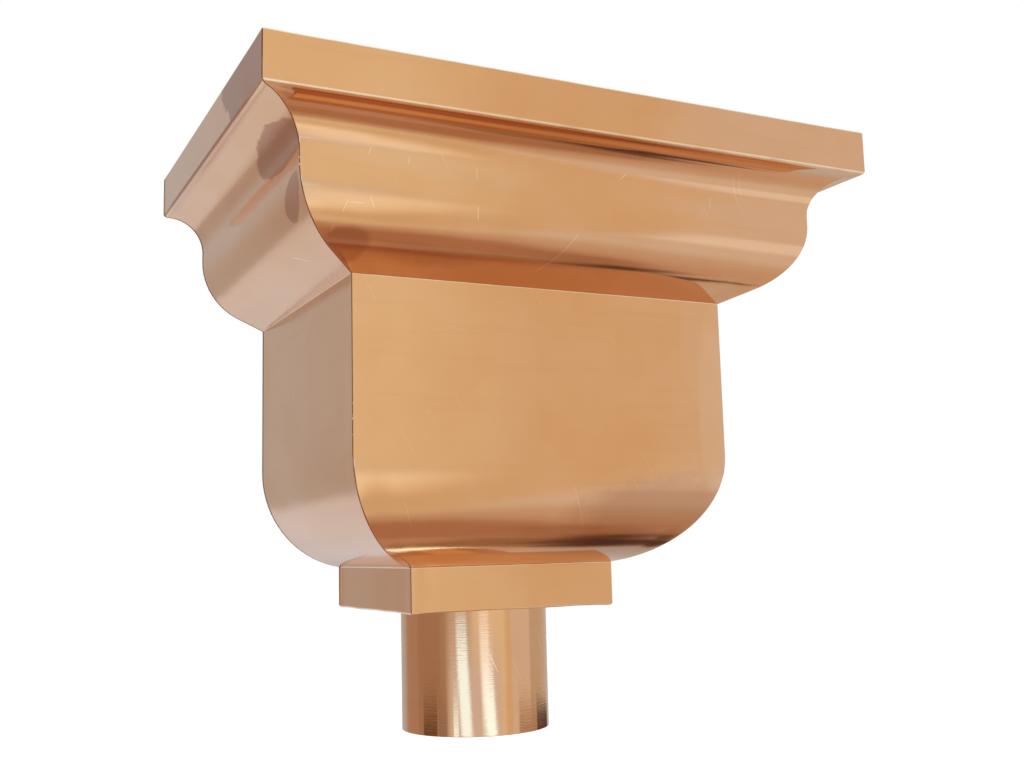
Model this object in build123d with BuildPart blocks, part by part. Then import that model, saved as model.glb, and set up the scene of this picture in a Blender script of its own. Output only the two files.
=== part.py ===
from build123d import *
import os
from math import acos, cos, degrees, radians, sin

# Rainwater hopper of folded sheet copper: a wide moulded rim over a narrower box,
# which rounds in to a rectangular collar with a round outlet tube below.
# Millimetres. X runs along the wall, the wall is the plane Y = 0 and the front faces -Y.
# The origin is midway between the two fixing holes, on the wall.

# Sheet
sheet = 0.7  # thickness of all the sheet metal
fold_radius = 0.5  # inside radius of a sharp fold
seam_gap = 0.3  # hairline left open between two mitred edges
fit_gap = 0.3  # clearance round a sheet that drops in between others

# Rim
rim_width = 305.0
rim_depth = 203.0
rim_reach = 54.0  # how far the rim stands out beyond the box, at the front and the sides
fascia_height = 22.0
fascia_fold = 1.3  # inside radius of the rounded fold below the fascia
hem_depth = 10.0  # width of the sheet folded back inside the rim
hem_radius = 0.3  # inside radius of that fold

# Moulding between the rim and the box: a cove above an ovolo
crown_height = 59.0
cove_radius = 18.0
waist_reach = 33.2  # reach of the upright stretch between the two curves
ovolo_radius = 33.0
foot_angle = 24.0  # slope of the straight foot, above the horizontal

# Box, the round below it and the collar
box_height = 77.5
round_radius = 52.5
collar_height = 22.0
side_margin = 17.4  # least width of the collar beyond the tube, on each side
end_margin = 14.9  # the same towards the front and the wall, as a mean of the two
turned_edge = 8.0  # edge turned in below the collar, which carries the outlet plate

# Outlet
tube_diameter = 76.2
tube_length = 61.0  # below the collar
tube_advance = 2.5  # axis of the tube ahead of the collar's centre
tube_flange = 5.0  # width of the flange that sits on the plate
tube_fit = 0.4  # gap between the flange's fold and the plate's hole
lap_width = 12.0  # overlap of the tube's soldered seam

# Fixing to the wall
fixing_drop = 22.0  # holes below the top of the rim
fixing_spacing = 200.0
fixing_diameter = 7.0

# Plan. The collar stands in equally at the front and the sides, as their mitres need,
# as far as its margins round the tube allow.
tube_radius = tube_diameter / 2
box_half_width = rim_width / 2 - rim_reach
box_depth = rim_depth - rim_reach
collar_inset = min(
    box_half_width - tube_radius - side_margin, box_depth - 2 * (tube_radius + end_margin)
)
collar_half_width = box_half_width - collar_inset
collar_depth = box_depth - collar_inset
tube_setback = collar_depth / 2 + tube_advance
hem_thickness = 2 * (hem_radius + sheet)
hole_radius = tube_radius + fold_radius + tube_fit

# Heights
rim_top = fixing_drop
hem_top = rim_top - hem_radius - sheet
fascia_bottom = rim_top - fascia_height
box_top = fascia_bottom - crown_height
round_top = box_top - box_height
round_turn = degrees(acos(1 - collar_inset / round_radius))
collar_top = round_top - round_radius * sin(radians(round_turn))
collar_bottom = collar_top - collar_height
plate_bottom = collar_bottom + sheet
plate_top = plate_bottom + sheet
tube_bottom = collar_bottom - tube_length

# Centres of the moulding's two curves, and where the ovolo runs into its straight foot
foot = radians(foot_angle)
cove_x, cove_z = waist_reach + cove_radius, fascia_bottom - cove_radius
ovolo_x = waist_reach - ovolo_radius
ovolo_z = box_top + (ovolo_radius + ovolo_x * sin(foot)) / cos(foot)
foot_x, foot_z = ovolo_x + ovolo_radius * sin(foot), ovolo_z - ovolo_radius * cos(foot)

# The outer face that the front and both sides share, from the hem's fold to the collar's bottom.
# X is the reach beyond the box, Y the height.
with BuildLine() as moulding:
    Polyline((rim_reach, hem_top), (rim_reach, fascia_bottom), (cove_x, fascia_bottom))
    CenterArc((cove_x, cove_z), cove_radius, 90, 90)
    Line((waist_reach, cove_z), (waist_reach, ovolo_z))
    CenterArc((ovolo_x, ovolo_z), ovolo_radius, 0, foot_angle - 90)
    Polyline((foot_x, foot_z), (0, box_top), (0, round_top))
    CenterArc((-round_radius, round_top), round_radius, 0, -round_turn)
    Line((-collar_inset, collar_top), (-collar_inset, collar_bottom))
    for corner, radius in (
        ((rim_reach, fascia_bottom), fascia_fold + sheet),
        ((0, box_top), fold_radius),
        ((-collar_inset, collar_top), fold_radius),
    ):
        fillet(moulding.vertices().sort_by_distance(corner)[0], radius)

# Section of the front and side panels: the hem, the moulding and the edge turned in below
with BuildSketch() as panel_section:
    with BuildLine() as panel_face:
        Line((rim_reach - hem_thickness, rim_top - hem_depth), (rim_reach - hem_thickness, hem_top))
        CenterArc((rim_reach - hem_thickness / 2, hem_top), hem_thickness / 2, 180, -180)
        add(moulding.line)
        Line((-collar_inset, collar_bottom), (-collar_inset - turned_edge, collar_bottom))
        bottom_corner = panel_face.vertices().sort_by_distance((-collar_inset, collar_bottom))[0]
        fillet(bottom_corner, fold_radius + sheet)
        offset(amount=sheet, side=Side.RIGHT)
    make_face()

# Upright planes through the mitred corners, each facing the front panel
left_mitre = Plane((-box_half_width, -box_depth, 0), z_dir=(1, -1, 0))
right_mitre = Plane((box_half_width, -box_depth, 0), z_dir=(-1, -1, 0))

# Front, one sheet from the hem to the turned edge, mitred at both ends
with BuildPart() as front_panel:
    with BuildSketch(Plane((0, -box_depth, 0), x_dir=(0, -1, 0), z_dir=(-1, 0, 0))):
        add(panel_section.sketch)
    extrude(amount=rim_width / 2, both=True)
    split(bisect_by=left_mitre.offset(seam_gap / 2), keep=Keep.TOP)
    split(bisect_by=right_mitre.offset(seam_gap / 2), keep=Keep.TOP)

# Sides, of the same section, from the front mitre to the back panel
with BuildPart() as left_side_panel:
    with BuildSketch(Plane((-box_half_width, -sheet, 0), x_dir=(-1, 0, 0), z_dir=(0, 1, 0))):
        add(panel_section.sketch)
    extrude(amount=sheet - rim_depth)
    split(bisect_by=left_mitre.offset(-seam_gap / 2), keep=Keep.BOTTOM)

with BuildPart() as right_side_panel:
    mirror(left_side_panel.part, about=Plane.YZ)

# Back, a flat sheet of the sides' outline, with two fixing holes. Its hem and its turned edge
# stop short of those of the sides.
with BuildSketch(Plane.YZ) as back_hem:
    with BuildLine() as hem_face:
        Line((0, rim_top - hem_depth), (0, hem_top))
        CenterArc((-hem_thickness / 2, hem_top), hem_thickness / 2, 0, 180)
        Line((-hem_thickness, hem_top), (-hem_thickness, rim_top - hem_depth))
        offset(amount=sheet, side=Side.LEFT)
    make_face()

with BuildSketch(Plane.YZ) as back_edge:
    with BuildLine() as edge_face:
        FilletPolyline(
            (0, collar_bottom + turned_edge),
            (0, collar_bottom),
            (-turned_edge, collar_bottom),
            radius=fold_radius + sheet,
        )
        offset(amount=sheet, side=Side.RIGHT)
    make_face()

with BuildPart() as back_panel:
    with BuildSketch(Plane.XZ) as back_outline:
        with BuildLine():
            half_outline = moulding.line.moved(Location((box_half_width, 0)))
            add(half_outline)
            mirror(half_outline, about=Plane.YZ)
            Line((-rim_width / 2, hem_top), (rim_width / 2, hem_top))
            Line((-collar_half_width, collar_bottom), (collar_half_width, collar_bottom))
        make_face()
        with Locations((0, collar_bottom)):  # relief for the fold of the turned edge
            Rectangle(rim_width, 2 * (fold_radius + sheet), mode=Mode.SUBTRACT)
        with GridLocations(fixing_spacing, 0, 2, 1):
            Circle(fixing_diameter / 2, mode=Mode.SUBTRACT)
    extrude(amount=sheet)
    extrude(back_hem.sketch, amount=rim_width / 2 - hem_thickness - fit_gap, both=True)
    extrude(back_edge.sketch, amount=collar_half_width - turned_edge - fit_gap, both=True)

# Plate that lies on the turned edges inside the collar, with the hole for the tube
plate_inset = sheet + fold_radius + fit_gap
with BuildPart() as outlet_plate:
    with BuildSketch(Plane.XY.offset(plate_bottom)):
        with Locations((0, -collar_depth / 2)):
            Rectangle(2 * (collar_half_width - plate_inset), collar_depth - 2 * plate_inset)
        with Locations((0, -tube_setback)):
            Circle(hole_radius, mode=Mode.SUBTRACT)
    extrude(amount=sheet)

# Outlet tube, rolled, with a flange that sits on the plate and a lap seam inside at the back
with BuildPart() as outlet_tube:
    with BuildSketch(Plane((0, -tube_setback, 0), x_dir=(1, 0, 0), z_dir=(0, -1, 0))):
        with BuildLine():
            FilletPolyline(
                (tube_radius, tube_bottom),
                (tube_radius, plate_top),
                (tube_radius + tube_flange, plate_top),
                radius=fold_radius,
            )
            offset(amount=sheet, side=Side.LEFT)
        make_face()
    revolve(axis=Axis((0, -tube_setback, 0), (0, 0, 1)))
    with BuildSketch(Plane((0, -tube_setback, tube_bottom))):
        with BuildLine():
            lap_angle = degrees(lap_width / tube_radius)
            outer = CenterArc((0, 0), tube_radius - sheet, 90 - lap_angle / 2, lap_angle)
            inner = CenterArc((0, 0), tube_radius - 2 * sheet, 90 - lap_angle / 2, lap_angle)
            Line(outer @ 0, inner @ 0)
            Line(outer @ 1, inner @ 1)
        make_face()
    extrude(amount=plate_top - tube_bottom)

os.makedirs("parts", exist_ok=True)
for name, piece in (
    ("front_panel", front_panel),
    ("left_side_panel", left_side_panel),
    ("right_side_panel", right_side_panel),
    ("back_panel", back_panel),
    ("outlet_plate", outlet_plate),
    ("outlet_tube", outlet_tube),
):
    piece.part.label = name
    export_step(piece.part, f"parts/{name}.step")
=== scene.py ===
from math import acos, atan2, cos, degrees, pi, radians, sin

import bpy
from mathutils import Matrix, Vector


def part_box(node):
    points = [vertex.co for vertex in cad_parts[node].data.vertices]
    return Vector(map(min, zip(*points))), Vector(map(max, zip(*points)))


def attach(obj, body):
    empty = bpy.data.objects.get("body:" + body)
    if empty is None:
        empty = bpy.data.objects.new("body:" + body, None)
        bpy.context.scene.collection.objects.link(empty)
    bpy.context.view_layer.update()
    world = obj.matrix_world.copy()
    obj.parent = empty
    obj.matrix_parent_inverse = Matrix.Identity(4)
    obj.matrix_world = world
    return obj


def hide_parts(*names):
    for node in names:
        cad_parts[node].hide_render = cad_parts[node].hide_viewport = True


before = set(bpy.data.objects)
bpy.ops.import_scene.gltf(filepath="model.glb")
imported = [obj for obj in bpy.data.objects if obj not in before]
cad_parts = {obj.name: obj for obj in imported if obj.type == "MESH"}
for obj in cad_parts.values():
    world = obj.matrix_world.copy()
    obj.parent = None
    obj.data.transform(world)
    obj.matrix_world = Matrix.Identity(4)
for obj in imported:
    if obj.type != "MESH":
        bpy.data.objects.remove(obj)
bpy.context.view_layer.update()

# Front panel: one sheet of copper, folded over at the rim for a hem, pressed into a fascia,
# a cove, an ovolo, a flat face, a round and a collar, with its bottom edge turned in.
# Both ends are cut to a mitre and soldered from inside to the side panels.
mm = 0.001
front_low, front_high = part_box("front_panel")
sheet = 0.7 * mm
seam_gap = 0.3 * mm  # hairline between two mitred edges
rim_reach = 54.0 * mm  # how far the rim stands out beyond the box
rim_top = front_high.z
collar_bottom = front_low.z
fascia_height = 22.0 * mm
fascia_fold = 2.0 * mm  # outer radius of the fold below the fascia
sharp_fold = 0.5 * mm  # inner radius of a sharp fold
hem_depth = 10.0 * mm
hem_thickness = 2.0 * mm
crown_height = 59.0 * mm
cove_radius = 18.0 * mm
waist_reach = 33.2 * mm  # reach of the upright stretch between cove and ovolo
ovolo_radius = 33.0 * mm
foot_angle = 24.0  # slope of the straight foot below the ovolo, in degrees
box_height = 77.5 * mm
round_radius = 52.5 * mm
collar_inset = 43.0 * mm
turned_edge = 8.0 * mm

box_half_width = front_high.x - rim_reach
box_depth = -front_low.y - rim_reach
hem_top = rim_top - hem_thickness / 2
fascia_bottom = rim_top - fascia_height
box_top = fascia_bottom - crown_height
round_top = box_top - box_height
round_turn = degrees(acos(1 - collar_inset / round_radius))
collar_top = round_top - round_radius * sin(radians(round_turn))
foot = radians(foot_angle)
ovolo_reach = waist_reach - ovolo_radius
ovolo_height = box_top + (ovolo_radius + ovolo_reach * sin(foot)) / cos(foot)
foot_start = (ovolo_reach + ovolo_radius * sin(foot), ovolo_height - ovolo_radius * cos(foot))


def arc(centre, radius, start, turn, steps):
    """Points on an arc from one angle, in degrees, through a turn."""
    angles = [radians(start + turn * step / steps) for step in range(steps + 1)]
    return [(centre[0] + radius * cos(a), centre[1] + radius * sin(a)) for a in angles]


def run(start, end, steps):
    """Points on a straight stretch, without its two ends."""
    shares = [step / steps for step in range(1, steps)]
    return [(start[0] + (end[0] - start[0]) * s, start[1] + (end[1] - start[1]) * s) for s in shares]


fold_shoulder = 0.3 * mm  # short flat before and after a fold, which keeps the faces beside it true


def fold(before, corner, after, radius, steps=8):
    """Arc that rounds the corner between two stretches."""
    into, out = (Vector(p) - Vector(corner) for p in (before, after))
    into.normalize()
    out.normalize()
    half = into.angle(out) / 2
    centre = Vector(corner) + (into + out).normalized() * radius / sin(half)
    first = Vector(corner) + into * radius * cos(half) / sin(half)
    last = Vector(corner) + out * radius * cos(half) / sin(half)
    start = degrees(atan2(first.y - centre.y, first.x - centre.x))
    turn = (degrees(atan2(last.y - centre.y, last.x - centre.x)) - start + 180) % 360 - 180
    bend = arc(centre, radius, start, turn, steps)
    return [first + into * fold_shoulder] + bend + [last + out * fold_shoulder]


# The face that the front and both sides show. X is the reach beyond the box, Y the height.
hem_inner = (rim_reach - hem_thickness, rim_top - hem_depth)
fascia_corner, cove_start = (rim_reach, fascia_bottom), (waist_reach + cove_radius, fascia_bottom)
waist_top, waist_bottom = (waist_reach, fascia_bottom - cove_radius), (waist_reach, ovolo_height)
box_corner, box_bottom = (0.0, box_top), (0.0, round_top)
collar_corner, bottom_corner = (-collar_inset, collar_top), (-collar_inset, collar_bottom)
edge_end = (-collar_inset - turned_edge, collar_bottom)
round_line = arc((-round_radius, round_top), round_radius, 0, -round_turn, 56)[:-1]
face_line = (
    [hem_inner, (hem_inner[0], hem_inner[1] + fold_shoulder)]
    + run(hem_inner, (hem_inner[0], hem_top), 3)
    + [(hem_inner[0], hem_top - fold_shoulder)]
    + arc((rim_reach - hem_thickness / 2, hem_top), hem_thickness / 2, 180, -180, 12)
    + [(rim_reach, hem_top - fold_shoulder)]
    + run((rim_reach, hem_top), fascia_corner, 8)
    + fold((rim_reach, hem_top), fascia_corner, cove_start, fascia_fold)
    + arc((cove_start[0], waist_top[1]), cove_radius, 90, 90, 28)
    + run(waist_top, waist_bottom, 2)
    + arc((ovolo_reach, ovolo_height), ovolo_radius, 0, foot_angle - 90, 32)
    + run(foot_start, box_corner, 4)
    + fold(foot_start, box_corner, box_bottom, sharp_fold)
    + run(box_corner, box_bottom, 20)
    + round_line
    + fold(round_line[-1], collar_corner, bottom_corner, sharp_fold)
    + run(collar_corner, bottom_corner, 8)
    + fold(collar_corner, bottom_corner, edge_end, sharp_fold + sheet)
    + run(bottom_corner, edge_end, 3)
    + [(edge_end[0] + fold_shoulder, collar_bottom), edge_end]
)


def inner_line(face, thickness):
    """Each point of a face, moved to the sheet's inner side, with the way across it, outwards."""
    found = []
    for index, point in enumerate(face):
        before, after = face[max(index - 1, 0)], face[min(index + 1, len(face) - 1)]
        along = (Vector(after) - Vector(before)).normalized()
        outward = Vector((-along.y, along.x))
        found.append((Vector(point) - outward * thickness, outward))
    return found


def mark_points(mesh, name, vectors_there):
    """Gives each point of a mesh a vector of its own."""
    layer = mesh.attributes.new(name, "FLOAT_VECTOR", "POINT")
    layer.data.foreach_set("vector", [c for v in vectors_there for c in v.to_3d()])


tight_bend = 2.5 * mm  # radius below which a bend is a fold, which gets a painted highlight


def section_mesh(name, face, thickness):
    """Closed outline of a sheet whose outer face is a line of points, with the sheet on its right.

    Each point knows the middle of the sheet beside it, the way across the sheet, outwards, and
    whether it lies inside the hopper and on a fold.
    """
    outer = [Vector(point) for point in face]
    inner, across = map(list, zip(*inner_line(face, thickness)))
    middle = [(a + b) / 2 for a, b in zip(outer, inner)]
    points = outer + inner[::-1]
    mesh = bpy.data.meshes.new(name)
    edges = [(i, (i + 1) % len(points)) for i in range(len(points))]
    mesh.from_pydata([p.to_3d() for p in points], edges, [])
    mark_points(mesh, "middle", middle + middle[::-1])
    mark_points(mesh, "across", across + across[::-1])
    bends = [0.0]
    for a, b, c in zip(outer, outer[1:], outer[2:]):
        bends.append(float((b - a).angle(c - b, 0) * 2 > (c - a).length / tight_bend))
    bends.append(0.0)
    for _ in range(3):  # fades towards the fold's two sides
        neighbours = zip([0.0] + bends, bends, bends[1:] + [0.0])
        bends = [(min(a, b, c) + b) / 2 for a, b, c in neighbours]
    none = [0.0] * len(outer)
    for mark, values in (("inside", none + [1.0] * len(outer)), ("fold", bends + none)):
        layer = mesh.attributes.new(mark, "FLOAT", "POINT")
        layer.data.foreach_set("value", values)
    return mesh


def add_node(tree, kind, inputs, **settings):
    """Adds a node, fills its inputs from plain values or other nodes' sockets, and gives its outputs."""
    made = tree.nodes.new(kind)
    for setting, value in settings.items():
        setattr(made, setting, value)
    for socket, value in inputs.items():
        if isinstance(value, bpy.types.NodeSocket):
            tree.links.new(value, made.inputs[socket])
        else:
            made.inputs[socket].default_value = value
    return made.outputs


def maths(tree, operation, *values):
    return add_node(tree, "ShaderNodeMath", dict(enumerate(values)), operation=operation)[0]


def times(tree, first, second):
    return maths(tree, "MULTIPLY", first, second)


def minus(tree, first, second):
    return maths(tree, "SUBTRACT", first, second)


def vectors(tree, operation, *values):
    made = add_node(tree, "ShaderNodeVectorMath", dict(enumerate(values)), operation=operation)
    return made["Value" if operation in ("DOT_PRODUCT", "LENGTH", "DISTANCE") else "Vector"]


def scaled(tree, vector, factor):
    """A vector times a number."""
    made = add_node(tree, "ShaderNodeVectorMath", {"Vector": vector, "Scale": factor}, operation="SCALE")
    return made["Vector"]


def parts_of(tree, vector):
    """The X, Y and Z of a vector."""
    return add_node(tree, "ShaderNodeSeparateXYZ", {0: vector})


def vector_of(tree, x=0.0, y=0.0, z=0.0):
    return add_node(tree, "ShaderNodeCombineXYZ", {"X": x, "Y": y, "Z": z})[0]


def mix_vector(tree, factor, first, second):
    inputs = {"Factor": factor, 4: first, 5: second}
    return add_node(tree, "ShaderNodeMix", inputs, data_type="VECTOR")[1]


def clamped(tree, value):
    """A value held between 0 and 1."""
    return add_node(tree, "ShaderNodeClamp", {"Value": value})[0]


def between(tree, value, low, high, new_low=0.0, new_high=1.0):
    """Smooth step of a value from low to high."""
    inputs = {"Value": value, "From Min": low, "From Max": high, "To Min": new_low, "To Max": new_high}
    step = add_node(tree, "ShaderNodeMapRange", inputs, interpolation_type="SMOOTHSTEP")
    return step["Result"]


def plain_numbers(*names):
    """The named sizes of a tree, each with its kind."""
    return tuple((name, "Float") for name in names)


def new_tree(name, sizes):
    """A geometry tree with the named sizes as its inputs, and the sockets that give them."""
    tree = bpy.data.node_groups.new(name, "GeometryNodeTree")
    tree.interface.new_socket("Geometry", in_out="OUTPUT", socket_type="NodeSocketGeometry")
    for size, kind in (("Base", "Geometry"),) + sizes:
        tree.interface.new_socket(size, in_out="INPUT", socket_type=f"NodeSocket{kind}")
    return tree, tree.nodes.new("NodeGroupInput").outputs


def captured(tree, geometry, kind, name, source):
    """Keeps what a source node gives at each point. Gives the geometry and what was kept."""
    kept = tree.nodes.new("GeometryNodeCaptureAttribute")
    kept.capture_items.new(kind, name)
    tree.links.new(geometry, kept.inputs[0])
    tree.links.new(tree.nodes.new(source).outputs[0], kept.inputs[1])
    return kept.outputs[0], kept.outputs[1]


weld_distance = 0.001 * mm


def finish_tree(tree, mesh, material):
    """Ends a tree: one plain welded mesh with its material."""
    inputs = {"Geometry": mesh, "Distance": weld_distance}
    welded = add_node(tree, "GeometryNodeMergeByDistance", inputs)[0]
    inputs = {"Geometry": welded, "Shade Smooth": True}
    shaded = add_node(tree, "GeometryNodeSetShadeSmooth", inputs)[0]
    plain = add_node(tree, "GeometryNodeRealizeInstances", {"Geometry": shaded})[0]
    inputs = {"Geometry": plain, "Material": material}
    dressed = add_node(tree, "GeometryNodeSetMaterial", inputs)[0]
    add_node(tree, "NodeGroupOutput", {"Geometry": dressed})


def grow(name, base, tree, sizes):
    """The plain mesh that a tree makes of a base mesh, as an object at the origin."""
    piece = bpy.data.objects.new(name, base)
    bpy.context.scene.collection.objects.link(piece)
    modifier = piece.modifiers.new(tree.name, "NODES")
    modifier.node_group = tree
    for item in tree.interface.items_tree:
        if item.in_out == "INPUT" and item.name in sizes:
            modifier[item.identifier] = sizes[item.name]
    evaluated = piece.evaluated_get(bpy.context.evaluated_depsgraph_get())
    mesh = bpy.data.meshes.new_from_object(evaluated)
    piece.modifiers.remove(modifier)
    piece.data = mesh
    mesh.name = name
    return piece


def named_vector(tree, name):
    """What mark_points gave each point."""
    return add_node(tree, "GeometryNodeInputNamedAttribute", {"Name": name}, data_type="FLOAT_VECTOR")[0]


edge_steps = 4  # stations in the rounding of a cut edge
edge_round = 0.2 * mm
soldered_share = 0.08  # of a sheet's length, at each end, where the solder holds it flat
sheet_sizes = plain_numbers(
    "Start", "Start Slant", "End", "End Slant", "Edge Round", "Waviness", "Wave Length", "Seed"
) + (("Stations", "Int"), ("Edge Steps", "Int"), ("Copper", "Material"))


def sweep_section(tree, given):
    """Draws the section along its stations. Gives the mesh, the section's points and their places along.

    At both ends the outline closes on the middle of the sheet, which rounds the cut edge. An end's
    slant is how far it moves along the sheet for each metre of reach.
    """
    section = add_node(tree, "GeometryNodeMeshToCurve", {"Mesh": given["Base"]})[0]
    section, outline = captured(tree, section, "VECTOR", "Outline", "GeometryNodeInputPosition")
    line = add_node(tree, "GeometryNodeCurvePrimitiveLine", {"End": (1, 0, 0)})[0]
    inputs = {"Curve": line, "Count": given["Stations"]}
    line = add_node(tree, "GeometryNodeResampleCurve", inputs)[0]
    line, station = captured(tree, line, "FLOAT", "Station", "GeometryNodeInputIndex")
    swept = add_node(tree, "GeometryNodeCurveToMesh", {"Curve": line, "Profile Curve": section})
    middle, across = named_vector(tree, "middle"), named_vector(tree, "across")

    last = minus(tree, given["Stations"], 1)
    from_end = maths(tree, "MINIMUM", station, minus(tree, last, station))
    rounding = maths(tree, "MINIMUM", maths(tree, "DIVIDE", from_end, given["Edge Steps"]), 1)
    turn = times(tree, rounding, pi / 2)
    inset = times(tree, maths(tree, "COSINE", turn), given["Edge Round"])
    fullness = maths(tree, "SINE", turn)
    first_plain = maths(tree, "ADD", given["Edge Steps"], 1)
    plain_stations = minus(tree, last, times(tree, first_plain, 2))
    share = clamped(tree, maths(tree, "DIVIDE", minus(tree, station, first_plain), plain_stations))
    shoulder = clamped(tree, minus(tree, from_end, given["Edge Steps"]))
    shoulder = maths(tree, "MULTIPLY_ADD", shoulder, fold_shoulder, given["Edge Round"])
    end_side = maths(tree, "SIGN", minus(tree, share, 0.5))

    flat = mix_vector(tree, fullness, middle, outline)
    reach = parts_of(tree, flat)["X"]
    starts = maths(tree, "MULTIPLY_ADD", reach, given["Start Slant"], given["Start"])
    ends = maths(tree, "MULTIPLY_ADD", reach, given["End Slant"], given["End"])
    starts = maths(tree, "ADD", starts, shoulder)
    ends = minus(tree, ends, shoulder)
    length = minus(tree, ends, starts)
    along = maths(tree, "MULTIPLY_ADD", length, share, starts)
    along = maths(tree, "MULTIPLY_ADD", end_side, inset, along)

    # The sheet is never quite flat: it lies in by a hair here and there, but not at its soldered ends.
    place = vectors(tree, "ADD", flat, vector_of(tree, z=along))
    waves_per_metre = maths(tree, "DIVIDE", 1, given["Wave Length"])
    waves = add_node(
        tree,
        "ShaderNodeTexNoise",
        {"Vector": place, "W": given["Seed"], "Scale": waves_per_metre, "Detail": 1.0},
        noise_dimensions="4D",
    )["Fac"]
    nearer_end = maths(tree, "MINIMUM", share, minus(tree, 1, share))
    free = between(tree, nearer_end, 0.0, soldered_share)
    depth = times(tree, times(tree, waves, free), given["Waviness"])
    flat = vectors(tree, "SUBTRACT", flat, scaled(tree, across, depth))
    return swept[0], flat, along


wavers_per_metre = 45.0  # along the turned edge


def panel_tree():
    """Tree that bends a panel of the box: the section's reach points outwards and its height up."""
    sizes = plain_numbers("Face", "Edge Waver", "Edge Height", "Edge Depth")
    ways = (("Along", "Vector"), ("Outward", "Vector"))
    tree, given = new_tree("bent_panel", sheet_sizes + sizes + ways)
    mesh, flat, along = sweep_section(tree, given)
    split = parts_of(tree, flat)
    outward = scaled(tree, given["Outward"], maths(tree, "ADD", split["X"], given["Face"]))
    sideways = scaled(tree, given["Along"], along)
    # The turned edge at the bottom isn't quite straight.
    wavering = add_node(
        tree,
        "ShaderNodeTexNoise",
        {"W": maths(tree, "ADD", along, given["Seed"]), "Scale": wavers_per_metre, "Detail": 0.0},
        noise_dimensions="1D",
    )["Fac"]
    low = minus(tree, split["Y"], given["Edge Height"])
    low = between(tree, low, given["Edge Depth"], 0.0)
    lift = times(tree, times(tree, wavering, low), given["Edge Waver"])
    up = vector_of(tree, z=maths(tree, "ADD", split["Y"], lift))
    place = vectors(tree, "ADD", vectors(tree, "ADD", outward, sideways), up)
    moved = add_node(tree, "GeometryNodeSetPosition", {"Geometry": mesh, "Position": place})
    finish_tree(tree, moved[0], given["Copper"])
    return tree


def new_material(name):
    """An empty node material and its shader."""
    material = bpy.data.materials.new(name)
    material.use_nodes = True
    tree = material.node_tree
    tree.nodes.clear()
    shader = tree.nodes.new("ShaderNodeBsdfPrincipled")
    add_node(tree, "ShaderNodeOutputMaterial", {"Surface": shader.outputs[0]})
    return material, tree, shader


def mix_colour(tree, factor, first, second):
    inputs = {"Factor": factor, 6: first, 7: second}
    return add_node(tree, "ShaderNodeMix", inputs, data_type="RGBA")[2]


def noise(tree, vector, scale, detail=2.0, roughness=0.5):
    inputs = {"Vector": vector, "Scale": scale, "Detail": detail, "Roughness": roughness}
    return add_node(tree, "ShaderNodeTexNoise", inputs)["Fac"]


copper_colour = (0.80, 0.455, 0.235, 1)
copper_pale = (0.84, 0.50, 0.285, 1)
copper_red = (0.74, 0.37, 0.185, 1)
copper_burnish_and_fold_highlight = (0.98, 0.74, 0.50, 1)  # painted highlight on folds, and the bright metal in scratches
copper_heat_and_dark_reflection = (0.44, 0.18, 0.09, 1)  # where the solder's heat has coloured it, and painted dark reflections on the front and left
# smudges, and on the front painted sheen standing in for highlights
copper_smudge_and_sheen = (0.90, 0.62, 0.42, 1)
copper_dull = (0.50, 0.27, 0.16, 1)  # unpolished inside
flux_stain = (0.30, 0.20, 0.13, 1)

# How often the copper's patterns repeat in a metre. Three numbers are along X, Y and Z.
clouds_per_metre = 22.0
blushes_per_metre = 9.0
frays_per_metre = 70.0  # in the edges of heat marks and painted dark reflections, smudges and painted sheen, and stains
patches_per_metre = 45.0  # where a fold's painted highlight is stronger or weaker, and where the tube's lines show
rolling_streaks = (8, 8, 190)
rolling_grain = (55, 55, 1900)
tube_lines = (90, 90, 2000)
stray_hairs = (30, 1300, 0)  # along a hairline and across it
hair_lean = 62  # degrees

scratch_fade = 0.24  # millimetres from a scratch's middle line to where it ends
stain_reach = 20 * mm  # from the seam to where the flux has left no stain
stain_heart = 4 * mm  # as far as it is at its darkest
stain_raggedness = 40 * mm
face_edge = 0.1 * mm  # over which a CAD mesh changes from its outside to its inside
grain_depth = 0.2 * mm
line_depth = 0.1 * mm


def attribute(tree, name):
    return add_node(tree, "ShaderNodeAttribute", {}, attribute_name=name)["Fac"]


def rotated(tree, flat, angle):
    """A place on a flat face, turned about the face's origin by degrees."""
    inputs = {"Vector": flat, "Angle": radians(angle)}
    return add_node(tree, "ShaderNodeVectorRotate", inputs, rotation_type="Z_AXIS")[0]


def most(tree, values):
    """The greatest of several values."""
    first, *others = values
    for value in others:
        first = maths(tree, "MAXIMUM", first, value)
    return first


def blot(tree, flat, ragged, centre, radii, turn, soft):
    """1 within a ragged oval on a flat face, 0 beyond it. Sizes in millimetres, the turn in degrees."""
    centre = (centre[0] * mm, centre[1] * mm, 0)
    radii = (radii[0] * mm, radii[1] * mm, 1)
    from_centre = vectors(tree, "SUBTRACT", flat, centre)
    distance = vectors(tree, "LENGTH", vectors(tree, "DIVIDE", rotated(tree, from_centre, -turn), radii))
    return between(tree, maths(tree, "ADD", distance, ragged), 1 + soft, 1 - soft)


def scratch(tree, flat, start, end, fade):
    """1 along a hair-fine scratch from start to end on a flat face, all in millimetres."""
    start, end = (Vector((*place, 0)) * mm for place in (start, end))
    whole = end - start
    from_start = vectors(tree, "SUBTRACT", flat, start)
    reached = vectors(tree, "DOT_PRODUCT", from_start, whole)
    share = clamped(tree, maths(tree, "DIVIDE", reached, whole.length_squared))
    aside = vectors(tree, "DISTANCE", from_start, scaled(tree, whole, share))
    return between(tree, aside, fade * mm, 0.3 * fade * mm)


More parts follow.
